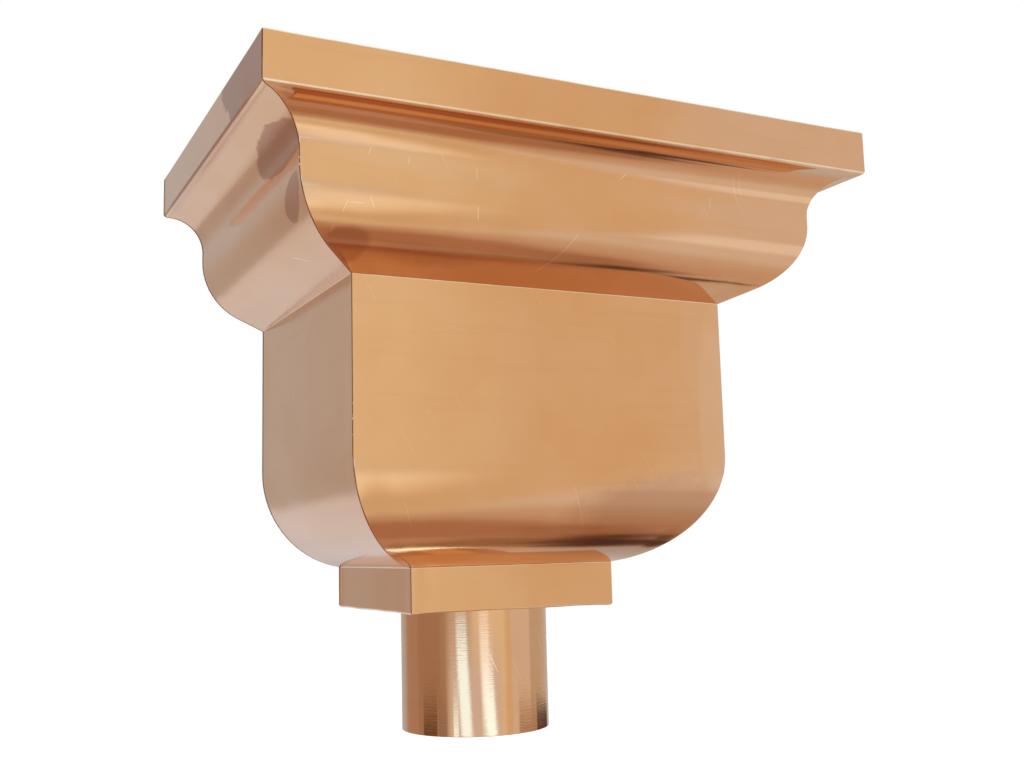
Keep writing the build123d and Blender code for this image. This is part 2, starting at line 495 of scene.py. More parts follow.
def copper_sheet(
    name, roughness, axis, heat_and_dark_reflections=(), smudges_and_sheen=(), scratches=(), fold_highlight=1.0, hatching=0.0, inside_ahead=None
):
    """Bright rolled copper: fine grain along the sheet, cloudy patches, hairlines, folds with a painted
    highlight.

    The heat blots and painted dark reflections, the smudges and painted sheen, and the scratches lie on
    the outer face, by their place along the axis and their height. Inside, the copper is dull and
    stained beside the seams: on a CAD mesh that is what lies ahead of a distance from the wall.
    """
    material, tree, shader = new_material(name)
    place = tree.nodes.new("ShaderNodeTexCoord").outputs["Object"]
    split = parts_of(tree, place)
    flat = vector_of(tree, split[axis], split["Z"])
    if inside_ahead is None:
        inside = attribute(tree, "inside")
    else:
        inside = between(tree, split["Y"], face_edge - inside_ahead, -face_edge - inside_ahead)
    outside = minus(tree, 1, inside)

    # Colour: clouds, a red blush here and there, the marks, and a painted highlight on the folds
    clouds = noise(tree, place, clouds_per_metre, 3.0, 0.55)
    blush = noise(tree, place, blushes_per_metre)
    ragged = minus(tree, noise(tree, place, frays_per_metre, 3.0, 0.6), 0.5)
    ragged = times(tree, ragged, 0.5)
    colour = mix_colour(tree, between(tree, clouds, 0.35, 0.65, 0.0, 0.6), copper_colour, copper_pale)
    colour = mix_colour(tree, between(tree, blush, 0.52, 0.75, 0.0, 0.35), colour, copper_red)
    streaks = noise(tree, vectors(tree, "MULTIPLY", place, rolling_streaks), 1.0, 2.0, 0.6)
    colour = mix_colour(tree, between(tree, streaks, 0.56, 0.80, 0.0, 0.15), colour, copper_pale)
    colour = mix_colour(tree, between(tree, streaks, 0.46, 0.24, 0.0, 0.15), colour, copper_red)
    rough = maths(tree, "MULTIPLY_ADD", clouds, 0.08, roughness - 0.04)
    # Heat tint, and on the front and left dark patches painted in for dark reflections
    if heat_and_dark_reflections:
        heat_and_dark_reflection = []
        for share, lowest, *shape in heat_and_dark_reflections:
            above = between(tree, split["Z"], lowest * mm, (lowest + 1) * mm, 0.0, share)
            heat_and_dark_reflection.append(times(tree, blot(tree, flat, ragged, *shape), above))
        heat_and_dark_reflection = times(tree, most(tree, heat_and_dark_reflection), outside)
        colour = mix_colour(tree, heat_and_dark_reflection, colour, copper_heat_and_dark_reflection)
        rough = maths(tree, "MULTIPLY_ADD", heat_and_dark_reflection, 0.08, rough)
    # Smudges, and on the front light patches painted in as sheen, for highlights
    if smudges_and_sheen:
        smudge_and_sheen = []
        for share, *shape in smudges_and_sheen:
            smudge_and_sheen.append(times(tree, blot(tree, flat, ragged, *shape), share))
        smudge_and_sheen = times(tree, most(tree, smudge_and_sheen), outside)
        colour = mix_colour(tree, smudge_and_sheen, colour, copper_smudge_and_sheen)
        rough = maths(tree, "MULTIPLY_ADD", smudge_and_sheen, 0.2, rough)
    # Painted highlight: folds are made lighter in colour, standing in for the light they catch; the
    # scratches and hairlines below are real wear
    wear_and_fold_highlight = between(tree, attribute(tree, "fold"), 0.1, 0.7, 0.0, fold_highlight)
    fold_highlight_breaks = between(tree, noise(tree, place, patches_per_metre, 2.0, 0.6), 0.3, 0.55, 0.4, 1.0)
    wear_and_fold_highlight = times(tree, wear_and_fold_highlight, fold_highlight_breaks)
    if heat_and_dark_reflections:
        wear_and_fold_highlight = times(tree, wear_and_fold_highlight, minus(tree, 1, heat_and_dark_reflection))
    if scratches:
        marks = most(tree, [scratch(tree, flat, *ends, scratch_fade) for ends in scratches])
        marks = times(tree, times(tree, marks, outside), 0.75)
        wear_and_fold_highlight = most(tree, [wear_and_fold_highlight, marks])
    # Stray hairlines, too many to place: the crests of a stretched noise
    hairs = vectors(tree, "MULTIPLY", rotated(tree, flat, hair_lean), stray_hairs)
    hairs = between(tree, noise(tree, hairs, 1.0, 0.0), 0.80, 0.84, 0.0, 0.25)
    wear_and_fold_highlight = most(tree, [wear_and_fold_highlight, times(tree, hairs, outside)])
    colour = mix_colour(tree, wear_and_fold_highlight, colour, copper_burnish_and_fold_highlight)
    rough = maths(tree, "MULTIPLY_ADD", wear_and_fold_highlight, 0.12, rough)

    # Inside: dull, with flux stains beside the mitres and along the wall
    aside = minus(tree, maths(tree, "ABSOLUTE", split["X"]), box_half_width)
    ahead = minus(tree, times(tree, split["Y"], -1), box_depth)
    from_seam = maths(tree, "ABSOLUTE", minus(tree, aside, ahead))
    from_seam = maths(tree, "MINIMUM", from_seam, maths(tree, "ABSOLUTE", split["Y"]))
    stain = maths(tree, "MULTIPLY_ADD", ragged, stain_raggedness, from_seam)
    stain = times(tree, between(tree, stain, stain_reach, stain_heart, 0.0, 0.75), inside)
    dull = times(tree, between(tree, clouds, 0.3, 0.7, 0.45, 0.9), inside)
    colour = mix_colour(tree, dull, colour, copper_dull)
    colour = mix_colour(tree, stain, colour, flux_stain)
    rough = maths(tree, "MULTIPLY_ADD", inside, 0.14, rough)
    rough = maths(tree, "MULTIPLY_ADD", stain, 0.2, rough)
    tree.links.new(colour, shader.inputs["Base Color"])

    # Grain of the rolls, and on the tube fine lines left by the rolling
    grain = noise(tree, vectors(tree, "MULTIPLY", place, rolling_grain), 1.0, 3.0, 0.7)
    rough = maths(tree, "MULTIPLY_ADD", minus(tree, grain, 0.5), 0.08, rough)
    tree.links.new(rough, shader.inputs["Roughness"])
    inputs = {"Height": grain, "Strength": 0.05, "Distance": grain_depth}
    bump = add_node(tree, "ShaderNodeBump", inputs)[0]
    if hatching:
        lines = noise(tree, vectors(tree, "MULTIPLY", place, tube_lines), 1.0, 1.0, 0.6)
        here = between(tree, noise(tree, place, patches_per_metre, 1.0), 0.40, 0.60)
        lines = times(tree, lines, here)
        inputs = {"Height": lines, "Strength": hatching, "Distance": line_depth, "Normal": bump}
        bump = add_node(tree, "ShaderNodeBump", inputs)[0]
    tree.links.new(bump, shader.inputs["Normal"])
    shader.inputs["Metallic"].default_value = 1.0
    return material


panel_section = section_mesh("panel_section", face_line, sheet)
bent_panel = panel_tree()
# Scratches of the front, from one end to the other, by X and height in millimetres
front_scratches = (
    ((-100.9, -13.4), (-101.6, -15.6)),
    ((-83.8, -15.0), (-83.8, -18.0)),
    ((-109.9, -35.9), (-111.4, -40.1)),
    ((-109.0, -36.5), (-102.9, -36.3)),
    ((-100.2, -33.7), (-98.3, -37.4)),
    ((-114.4, -45.4), (-115.0, -47.4)),
    ((-52.1, -16.3), (-52.1, -20.7)),
    ((-51.2, -32.7), (-50.3, -37.9)),
    ((23.2, -9.8), (21.0, -12.2)),
    ((71.7, -15.3), (71.5, -20.2)),
    ((0.3, -39.4), (-4.7, -46.5)),
    ((-4.7, -46.5), (-9.1, -50.8)),
    ((-9.1, -50.8), (-13.0, -53.6)),
)
# A heat blot or painted dark reflection has its strength, its lowest height, middle, half sizes, turn and
# softness of the edge.
# A smudge or painted sheen has the same without the lowest height.
front_copper = copper_sheet(
    "front_copper",
    roughness=0.10,
    axis="X",
    # On the front these blots are painted dark reflections, the one by the left mitre partly heat tint as
    # well
    heat_and_dark_reflections=(
        (0.5, -70, (-107, -50.8), (10.5, 6), 0, 0.2),
        (0.33, -70, (-72, -52), (26, 3), 0, 0.5),
        (0.37, -190, (58, -177), (44, 9), 5, 0.5),
        (0.45, -190, (64, -162), (46, 14), 4, 0.35),
    ),
    # On the front the smudges are painted sheen: light patches for highlights on the ovolo and on the box
    smudges_and_sheen=((0.28, (92, -112), (9, 42), 0, 0.2), (0.25, (-66, -18), (40, 5), -3, 0.6)),
    scratches=front_scratches,
)
mitre_gap = seam_gap / 2**0.5  # from the mitre to either panel's edge, along that panel
panel_sizes = {
    "Stations": 96,
    "Edge Steps": edge_steps,
    "Edge Round": edge_round,
    "Waviness": 0.25 * mm,
    "Wave Length": 70.0 * mm,
    "Edge Waver": 0.5 * mm,
    "Edge Height": collar_bottom,
    "Edge Depth": turned_edge,
}
front_panel = grow("front_sheet", panel_section, bent_panel, panel_sizes | {
    "Along": (1.0, 0.0, 0.0),
    "Outward": (0.0, -1.0, 0.0),
    "Face": box_depth,
    "Start": mitre_gap - box_half_width,
    "Start Slant": -1.0,
    "End": box_half_width - mitre_gap,
    "End Slant": 1.0,
    "Seed": 3.0,
    "Copper": front_copper,
})
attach(front_panel, "root")
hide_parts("front_panel")

# Side panels: the same section, mitred at the front corner and cut square at the wall, where
# they are soldered to the back. The right one mirrors the left. The heat of soldering has left
# brown blots by the front corners; on the left these are also painted dark reflections, with a
# painted dark line under the fascia.
left_copper = copper_sheet(
    "left_copper",
    roughness=0.12,
    axis="Y",
    # On the left: heat tint by the mitre, painted dark reflections darkening the fascia towards the front,
    # and a painted dark line along the fold under it
    heat_and_dark_reflections=(
        (0.76, -40, (-158, -11), (31, 8.5), 0, 0.05),
        (0.66, -45, (-166, -33), (15, 6), -25, 0.05),
        (1.0, 1.0, (-190, 24), (55, 29), 0, 0.03),
        (0.85, -0.2, (-101, 0.9), (112, 1.0), 0, 0.3),
    ),
    smudges_and_sheen=((0.35, (-70, -24), (22, 7), -14, 0.6), (0.25, (-40, -140), (30, 12), 30, 0.6)),
    scratches=(((-79, -22), (-75, -24)), ((-136, -52), (-128, -49)), ((-60, -95), (-58, -104))),
    fold_highlight=0.55,
)
right_copper = copper_sheet(
    "right_copper",
    roughness=0.12,
    axis="Y",
    heat_and_dark_reflections=(
        (0.75, -60, (-172, -38), (26, 12), -30, 0.08),
        (0.65, -140, (-150, -104), (9, 22), 4, 0.08),
        (0.75, 0.5, (-176, 16), (26, 18), 0, 0.05),
    ),
    smudges_and_sheen=((0.25, (-60, -110), (26, 14), 20, 1.0),),
    scratches=(((-90, -30), (-84, -34)), ((-40, -120), (-52, -117)), ((-120, 10), (-113, 13))),
)
left_panel = grow("left_sheet", panel_section, bent_panel, panel_sizes | {
    "Along": (0.0, -1.0, 0.0),
    "Outward": (-1.0, 0.0, 0.0),
    "Face": box_half_width,
    "Start": sheet,
    "Start Slant": 0.0,
    "End": box_depth - mitre_gap,
    "End Slant": 1.0,
    "Seed": 11.0,
    "Copper": left_copper,
})
right_panel = grow("right_sheet", panel_section, bent_panel, panel_sizes | {
    "Along": (0.0, 1.0, 0.0),
    "Outward": (1.0, 0.0, 0.0),
    "Face": box_half_width,
    "Start": mitre_gap - box_depth,
    "Start Slant": -1.0,
    "End": -sheet,
    "End Slant": 0.0,
    "Seed": 17.0,
    "Copper": right_copper,
})
for panel, node in ((left_panel, "left_side_panel"), (right_panel, "right_side_panel")):
    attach(panel, "root")
    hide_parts(node)

# Back panel: a flat sheet cut to the outline of the sides, with two holes for the wall screws.
# It hides against the wall, so it keeps its plain folds and gets the sheet's finish.
back_copper = copper_sheet(
    "back_copper",
    roughness=0.2,
    axis="X",
    heat_and_dark_reflections=(
        (0.58, -140, (-96, -60), (8, 40), 5, 0.7),
        (0.58, -160, (98, -88), (7, 46), -4, 0.7),
        (0.42, -220, (20, -202), (34, 7), 0, 0.7),
    ),
    smudges_and_sheen=((0.3, (0, -70), (60, 30), 10, 1.0),),
    scratches=(
        ((-100, 8), (-92, 12)),
        ((100, -8), (108, -14)),
        ((-20, -60), (6, -74)),
        ((30, -120), (34, -140)),
    ),
    inside_ahead=sheet / 2,
)
back_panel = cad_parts["back_panel"]
back_panel.data.materials.clear()
back_panel.data.materials.append(back_copper)

# Outlet plate: a flat rectangle of the same copper, cut out round for the tube. It lies on the
# turned edges inside the collar and is soldered to them all round.
plate_copper = copper_sheet("plate_copper", roughness=0.3, axis="X", inside_ahead=sheet)
outlet_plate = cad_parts["outlet_plate"]
outlet_plate.data.materials.clear()
outlet_plate.data.materials.append(plate_copper)

# Outlet tube: sheet rolled to a tube, with a flange turned out at the top that sits on the plate
# and a lap seam inside at the back.
tube_low, tube_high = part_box("outlet_tube")
tube_radius = 38.1 * mm
tube_flange = tube_high.x - tube_radius
plate_top = tube_high.z - sheet
tube_bottom = tube_low.z
tube_axis = (0.0, (tube_low.y + tube_high.y) / 2, 0.0)
lap_width = 12.0 * mm
tube_mouth, flange_fold = (tube_radius, tube_bottom), (tube_radius, plate_top)
flange_edge = (tube_radius + tube_flange, plate_top)
wall_line = (
    [tube_mouth, (tube_radius, tube_bottom + fold_shoulder)]
    + run(tube_mouth, flange_fold, 16)
    + fold(tube_mouth, flange_fold, flange_edge, sharp_fold)
    + [(flange_edge[0] - fold_shoulder, plate_top), flange_edge]
)


def rolled_tree():
    """Tree that rolls a section round an upright axis: its reach is the radius."""
    tree, given = new_tree("rolled_sheet", sheet_sizes + (("Axis", "Vector"), ("Roll Radius", "Float")))
    mesh, flat, along = sweep_section(tree, given)
    split = parts_of(tree, flat)
    angle = maths(tree, "DIVIDE", along, given["Roll Radius"])
    sideways = times(tree, split["X"], maths(tree, "SINE", angle))
    backwards = times(tree, split["X"], maths(tree, "COSINE", angle))
    place = vectors(tree, "ADD", vector_of(tree, sideways, backwards, split["Y"]), given["Axis"])
    moved = add_node(tree, "GeometryNodeSetPosition", {"Geometry": mesh, "Position": place})
    finish_tree(tree, moved[0], given["Copper"])
    return tree


rolled_sheet = rolled_tree()
tube_copper = copper_sheet(
    "tube_copper",
    roughness=0.07,
    axis="X",
    scratches=(((-8.5, -232.1), (-4.7, -240.5)), ((22, -226), (24, -231))),
    hatching=0.09,
)
tube_sizes = {
    "Start Slant": 0.0,
    "End Slant": 0.0,
    "Edge Steps": edge_steps,
    "Edge Round": edge_round,
    "Waviness": 0.05 * mm,
    "Wave Length": 40.0 * mm,
    "Seed": 5.0,
    "Copper": tube_copper,
    "Axis": tube_axis,
    "Roll Radius": tube_radius,
}
tube_section = section_mesh("tube_section", wall_line, -sheet)
outlet_tube = grow("rolled_tube", tube_section, rolled_sheet, tube_sizes | {
    "Start": seam_gap / 4,
    "End": 2 * pi * tube_radius - seam_gap / 4,
    "Stations": 200,
})
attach(outlet_tube, "root")
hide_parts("outlet_tube")

# Lap of the tube: the end of the rolled sheet, which lies over the other end inside the tube, at
# the back, where it is soldered.
lap_radius = tube_radius - sheet
lap_bottom, lap_top = (lap_radius, tube_bottom), (lap_radius, plate_top)
lap_line = [lap_bottom, (lap_radius, tube_bottom + fold_shoulder)]
lap_line += run(lap_bottom, lap_top, 16) + [lap_top]
lap_section = section_mesh("lap_section", lap_line, -sheet)
lap_strip = grow("lap_strip", lap_section, rolled_sheet, tube_sizes | {
    "Start": -lap_width / 2,
    "End": lap_width / 2,
    "Stations": 24,
    "Waviness": 0.0,
})
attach(lap_strip, "root")

# Solder seams: tin solder, run with an iron up the inside of the four corners, half on one sheet
# and half on the other. It joins the sides to the front and to the back.
solder_width = 4.0 * mm
solder_height = 0.9 * mm
seam_end_gap = 0.5 * mm  # from the solder's ends to the plate and to the hem
seam_bottom, seam_top = plate_top + seam_end_gap, rim_top - hem_depth - seam_end_gap
soldered_face = []
for point, across in inner_line(face_line, sheet):
    if seam_bottom < point.y < seam_top and point.x < rim_reach - hem_thickness / 2:
        soldered_face.append((point, across))


def path_mesh(name, points, closed=False, across=None):
    """Points joined by edges, for a tree to follow."""
    mesh = bpy.data.meshes.new(name)
    edges = [(i, i + 1) for i in range(len(points) - 1)]
    if closed:
        edges.append((len(points) - 1, 0))
    mesh.from_pydata([Vector(p).to_3d() for p in points], edges, [])
    if across:
        mark_points(mesh, "across", across)
    return mesh


def path_curve(tree, base, step):
    """The points of a base mesh as a curve, cut into equal steps."""
    path = add_node(tree, "GeometryNodeMeshToCurve", {"Mesh": base})[0]
    inputs = {"Curve": path, "Length": step}
    return add_node(tree, "GeometryNodeResampleCurve", inputs, mode="LENGTH")[0]


def lumpy(tree, given, lumps_per_metre, place=None):
    """A factor round 1 by which the solder swells and thins along its run."""
    inputs = {"W": given["Seed"], "Scale": lumps_per_metre, "Detail": 2.0}
    if place is not None:
        inputs["Vector"] = place
    lumps = add_node(tree, "ShaderNodeTexNoise", inputs, noise_dimensions="4D")["Fac"]
    return maths(tree, "MULTIPLY_ADD", minus(tree, lumps, 0.5), given["Lumps"], 1)


seam_step = 1.2 * mm
seam_lumps_per_metre = 110.0
bead_step = 1.0 * mm
bead_lumps_per_metre = 150.0


def seam_tree():
    """Tree that lays a lens of solder along a corner, half on one sheet and half on the other.

    It is drawn for a left corner: the front one where At Wall is 0, the one at the wall where it
    is 1. Side is 1 on the left and -1 on the right.
    """
    sizes = plain_numbers(
        "Half Width", "Depth", "At Wall", "Wall", "Bead Width", "Bead Height", "Lumps", "Seed", "Side"
    )
    tree, given = new_tree("solder_seam", sizes + (("Solder", "Material"),))
    path = path_curve(tree, given["Base"], seam_step)
    path, path_point = captured(tree, path, "VECTOR", "Path", "GeometryNodeInputPosition")
    lens = add_node(tree, "GeometryNodeCurvePrimitiveCircle", {"Resolution": 16, "Radius": 1.0})
    lens, lens_point = captured(tree, lens[0], "VECTOR", "Lens", "GeometryNodeInputPosition")
    inputs = {"Curve": path, "Profile Curve": lens, "Fill Caps": True}
    swept = add_node(tree, "GeometryNodeCurveToMesh", inputs)[0]
    where, lens_at = parts_of(tree, path_point), parts_of(tree, lens_point)
    across = parts_of(tree, named_vector(tree, "across"))

    # The corner itself, and the ways along and off the two sheets that meet in it
    to_left = times(tree, maths(tree, "ADD", given["Half Width"], where["X"]), -1)
    to_front = times(tree, maths(tree, "ADD", given["Depth"], where["X"]), -1)
    to_wall = times(tree, given["Wall"], -1)
    front_corner = vector_of(tree, to_left, to_front, where["Y"])
    wall_corner = vector_of(tree, to_left, to_wall, where["Y"])
    down = times(tree, across["Y"], -1)
    off_side = vector_of(tree, across["X"], 0.0, down)
    off_front, off_wall = vector_of(tree, 0.0, across["X"], down), vector_of(tree, y=-1.0)
    corner = mix_vector(tree, given["At Wall"], front_corner, wall_corner)
    off_first = mix_vector(tree, given["At Wall"], off_front, off_wall)
    along_first = mix_vector(tree, given["At Wall"], vector_of(tree, x=1.0), off_side)
    along_side = mix_vector(tree, given["At Wall"], vector_of(tree, y=1.0), vector_of(tree, y=-1.0))

    lumps = lumpy(tree, given, seam_lumps_per_metre, path_point)
    width = times(tree, lumps, given["Bead Width"])
    height = times(tree, lumps, given["Bead Height"])
    first = maths(tree, "MAXIMUM", times(tree, lens_at["X"], -1), 0)
    second = maths(tree, "MAXIMUM", lens_at["X"], 0)
    base = vectors(tree, "ADD", corner, scaled(tree, along_first, times(tree, first, width)))
    base = vectors(tree, "ADD", base, scaled(tree, along_side, times(tree, second, width)))
    off = mix_vector(tree, between(tree, lens_at["X"], -0.35, 0.35), off_first, off_side)
    lift = times(tree, maths(tree, "MAXIMUM", lens_at["Y"], -0.15), height)
    place = vectors(tree, "ADD", base, scaled(tree, vectors(tree, "NORMALIZE", off), lift))
    place = vectors(tree, "MULTIPLY", place, vector_of(tree, given["Side"], 1.0, 1.0))
    moved = add_node(tree, "GeometryNodeSetPosition", {"Geometry": swept, "Position": place})[0]

    # The front right corner and the left one at the wall come out inside out, and are turned.
    at_wall = minus(tree, given["At Wall"], 0.5)
    turned = maths(tree, "GREATER_THAN", times(tree, given["Side"], at_wall), 0)
    flipped = add_node(tree, "GeometryNodeFlipFaces", {"Mesh": moved, "Selection": turned})
    finish_tree(tree, flipped[0], given["Solder"])
    return tree


def bead_tree():
    """Tree that lays a lumpy round bead along a path."""
    sizes = plain_numbers("Bead Radius", "Lumps", "Seed") + (("Solder", "Material"),)
    tree, given = new_tree("solder_bead", sizes)
    path = path_curve(tree, given["Base"], bead_step)
    swelling = lumpy(tree, given, bead_lumps_per_metre)
    inputs = {"Resolution": 12, "Radius": given["Bead Radius"]}
    ring = add_node(tree, "GeometryNodeCurvePrimitiveCircle", inputs)[0]
    inputs = {"Curve": path, "Profile Curve": ring, "Scale": swelling, "Fill Caps": True}
    bead = add_node(tree, "GeometryNodeCurveToMesh", inputs)[0]
    finish_tree(tree, bead, given["Solder"])
    return tree


tin_dull = (0.55, 0.53, 0.50, 1)
tin_bright = (0.80, 0.78, 0.75, 1)
tin_coppery = (0.60, 0.40, 0.28, 1)  # where it runs thin
mottles_per_metre = 180.0
thin_runs_per_metre = 60.0
mottle_depth = 0.3 * mm


def solder_metal():
    """Tin, bright and dull by turns, a little coppery where it runs thin."""
    material, tree, shader = new_material("solder_metal")
    place = tree.nodes.new("ShaderNodeTexCoord").outputs["Object"]
    mottle = noise(tree, place, mottles_per_metre, 3.0, 0.6)
    colour = mix_colour(tree, between(tree, mottle, 0.35, 0.65), tin_dull, tin_bright)
    thin = noise(tree, place, thin_runs_per_metre)
    colour = mix_colour(tree, between(tree, thin, 0.5, 0.7, 0.0, 0.6), colour, tin_coppery)
    tree.links.new(colour, shader.inputs["Base Color"])
    tree.links.new(maths(tree, "MULTIPLY_ADD", mottle, 0.25, 0.35), shader.inputs["Roughness"])
    inputs = {"Height": mottle, "Strength": 0.3, "Distance": mottle_depth}
    bump = add_node(tree, "ShaderNodeBump", inputs)
    tree.links.new(bump[0], shader.inputs["Normal"])
    shader.inputs["Metallic"].default_value = 1.0
    return material


solder = solder_metal()
solder_seam = seam_tree()
solder_bead = bead_tree()
seam_points, seam_across = zip(*soldered_face)
seam_path = path_mesh("seam_path", seam_points, across=seam_across)
seam_sizes = {
    "Half Width": box_half_width,
    "Depth": box_depth,
    "Wall": sheet,
    "Bead Width": solder_width,
    "Bead Height": solder_height,
    "Lumps": 1.5,
    "Solder": solder,
}
seams = [
    grow(name, seam_path, solder_seam, seam_sizes | {"At Wall": wall, "Side": side, "Seed": seed})
    for name, wall, side, seed in (
        ("solder_front_left", 0.0, 1.0, 2.0),
        ("solder_front_right", 0.0, -1.0, 5.0),
        ("solder_back_left", 1.0, 1.0, 8.0),
        ("solder_back_right", 1.0, -1.0, 13.0),
    )
]

# Round beads: the same solder, run round the plate, round the tube's flange and up beside its lap.
# They hold the plate in the collar and the tube in the plate, and close the lap.
bead_radius = 1.2 * mm
lap_bead_radius = 0.5 * mm
bead_inset = 0.8 * mm  # from the collar's inner face to the bead's middle
bead_height = plate_top + 0.3 * mm
plate_x = box_half_width - collar_inset - sheet - bead_inset
plate_front = -(box_depth - collar_inset - sheet - bead_inset)
plate_back = -sheet - bead_inset
plate_path = [
    (x, y, bead_height)
    for x, y in (
        (plate_x, plate_front),
        (plate_x, plate_back),
        (-plate_x, plate_back),
        (-plate_x, plate_front),
    )
]
flange_ring = arc((tube_axis[0], tube_axis[1]), tube_radius + tube_flange, 0, 360, 120)[:-1]
flange_path = [(x, y, bead_height) for x, y in flange_ring]
lap_bead_reach = tube_radius - 1.2 * sheet  # from the tube's axis
lap_bead_aside = 0.2 * mm  # from the lap's edge
lap_bead_heights = (tube_bottom + 3 * mm, plate_top - 2 * mm)
lap_turn = lap_width / 2 / tube_radius
lap_x = lap_bead_reach * sin(lap_turn) + lap_bead_aside
lap_y = tube_axis[1] + lap_bead_reach * cos(lap_turn)
lap_path = [(lap_x, lap_y, height) for height in lap_bead_heights]
beads = []
for name, points, closed, radius, seed in (
    ("solder_plate", plate_path, True, bead_radius, 21.0),
    ("solder_flange", flange_path, True, bead_radius, 27.0),
    ("solder_lap", lap_path, False, lap_bead_radius, 33.0),
):
    bead_sizes = {"Bead Radius": radius, "Lumps": 1.1, "Seed": seed, "Solder": solder}
    beads.append(grow(name, path_mesh(name + "_path", points, closed), solder_bead, bead_sizes))

# Drops: solder that came through the open mitre at the left when it was soldered from inside.
# Each has its reach beyond the box, and its height in millimetres.
drop_depth = 0.2 * mm  # behind the mitre's edge
box_drops = [(-drop_depth, height) for height in (-116.5, -121.5, -123, -130)]
waist_drops = [(waist_reach - drop_depth, height) for height in (-21, -24)]
drop_places = [
    (-(box_half_width + reach), -(box_depth + reach), height * mm)
    for reach, height in box_drops + waist_drops
]
drop_radius = 0.33 * mm
smallest_drop, largest_drop = (0.6, 0.6, 0.7), (1.1, 1.1, 2.4)  # shares of the radius


def drops_tree():
    """Tree that sets a small uneven drop on each point."""
    sizes = (("Drop Radius", "Float"), ("Seed", "Int"), ("Solder", "Material"))
    tree, given = new_tree("solder_drops", sizes)
    inputs = {"Radius": given["Drop Radius"], "Subdivisions": 2}
    drop = add_node(tree, "GeometryNodeMeshIcoSphere", inputs)[0]
    inputs = {"Min": smallest_drop, "Max": largest_drop, "Seed": given["Seed"]}
    size = add_node(tree, "FunctionNodeRandomValue", inputs, data_type="FLOAT_VECTOR")[0]
    inputs = {"Points": given["Base"], "Instance": drop, "Scale": size}
    drops = add_node(tree, "GeometryNodeInstanceOnPoints", inputs)[0]
    drops = add_node(tree, "GeometryNodeRealizeInstances", {"Geometry": drops})[0]
    finish_tree(tree, drops, given["Solder"])
    return tree


drops_base = bpy.data.meshes.new("seam_drops")
drops_base.from_pydata(drop_places, [], [])
drop_sizes = {"Drop Radius": drop_radius, "Seed": 4, "Solder": solder}
drops = grow("solder_dots", drops_base, drops_tree(), drop_sizes)
for run_of_solder in seams + beads + [drops]:
    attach(run_of_solder, "root")

# Stage: a plain pale floor below the hopper, which hangs clear of it, and a white background. The
# metal mirrors that background too, with a workshop laid over it: a cream wall in front with bright
# windows to its left, a wooden wall on the left, a grey one behind, and dark things on the floor.
white = (1, 1, 1, 1)
floor_colour = (0.9, 0.9, 0.9, 1)
floor_size = 30
floor_drop = 1.2  # below the tube
bpy.ops.mesh.primitive_plane_add(size=floor_size, location=(0, 0, tube_bottom - floor_drop))
floor = bpy.context.object
floor.name = "floor"
floor_material, _, floor_shader = new_material("pale_floor")
for socket, value in (
    ("Base Color", floor_colour),
    ("Roughness", 0.9),
    ("Emission Color", white),
    ("Emission Strength", 0.45),
):
    floor_shader.inputs[socket].default_value = value
floor.data.materials.append(floor_material)
floor.visible_glossy = False

world = bpy.data.worlds.new("studio")
bpy.context.scene.world = world
world.use_nodes = True
sky = world.node_tree
sky.nodes.clear()
toward = parts_of(sky, sky.nodes.new("ShaderNodeTexCoord").outputs["Generated"])
azimuth = maths(sky, "ARCTAN2", toward["X"], times(sky, toward["Y"], -1))
azimuth = maths(sky, "DEGREES", azimuth)
elevation = maths(sky, "DEGREES", maths(sky, "ARCSINE", toward["Z"]))
from_front = vector_of(sky, azimuth, elevation)
from_wall = vector_of(sky, maths(sky, "WRAP", azimuth, 360, 0), elevation)


def patch_of_room(seen, centre, half_size, soft, colour, lean=0.0):
    """Lays a soft-edged patch of colour over what is seen, all in degrees of azimuth and elevation.

    The azimuth is 0 straight ahead of the hopper and 90 on its right, as seen from the front. The
    lean is how far the patch moves in azimuth for each degree of elevation.
    """
    middle, height = centre
    looking = from_front
    if 120 < middle % 360 < 240:  # behind the hopper, where the azimuth would jump from 180 to -180
        looking, middle = from_wall, middle % 360
    off = vectors(sky, "SUBTRACT", looking, (middle, height, 0))
    if lean:
        slant = times(sky, minus(sky, elevation, height), -lean)
        off = vectors(sky, "ADD", off, vector_of(sky, x=slant))
    within = add_node(
        sky,
        "ShaderNodeMapRange",
        {
            "Vector": vectors(sky, "ABSOLUTE", off),
            7: (half_size[0] + soft[0], half_size[1] + soft[1], 1),
            8: (half_size[0] - soft[0], half_size[1] - soft[1], 0),
        },
        data_type="FLOAT_VECTOR",
        interpolation_type="SMOOTHSTEP",
    )["Vector"]
    within = parts_of(sky, within)
    share = times(sky, within["X"], within["Y"])
    return mix_colour(sky, share, seen, (*colour, 1))


plain_level = (0.8, 0.8, 0.8, 1)  # light that falls on what isn't metal
room = white
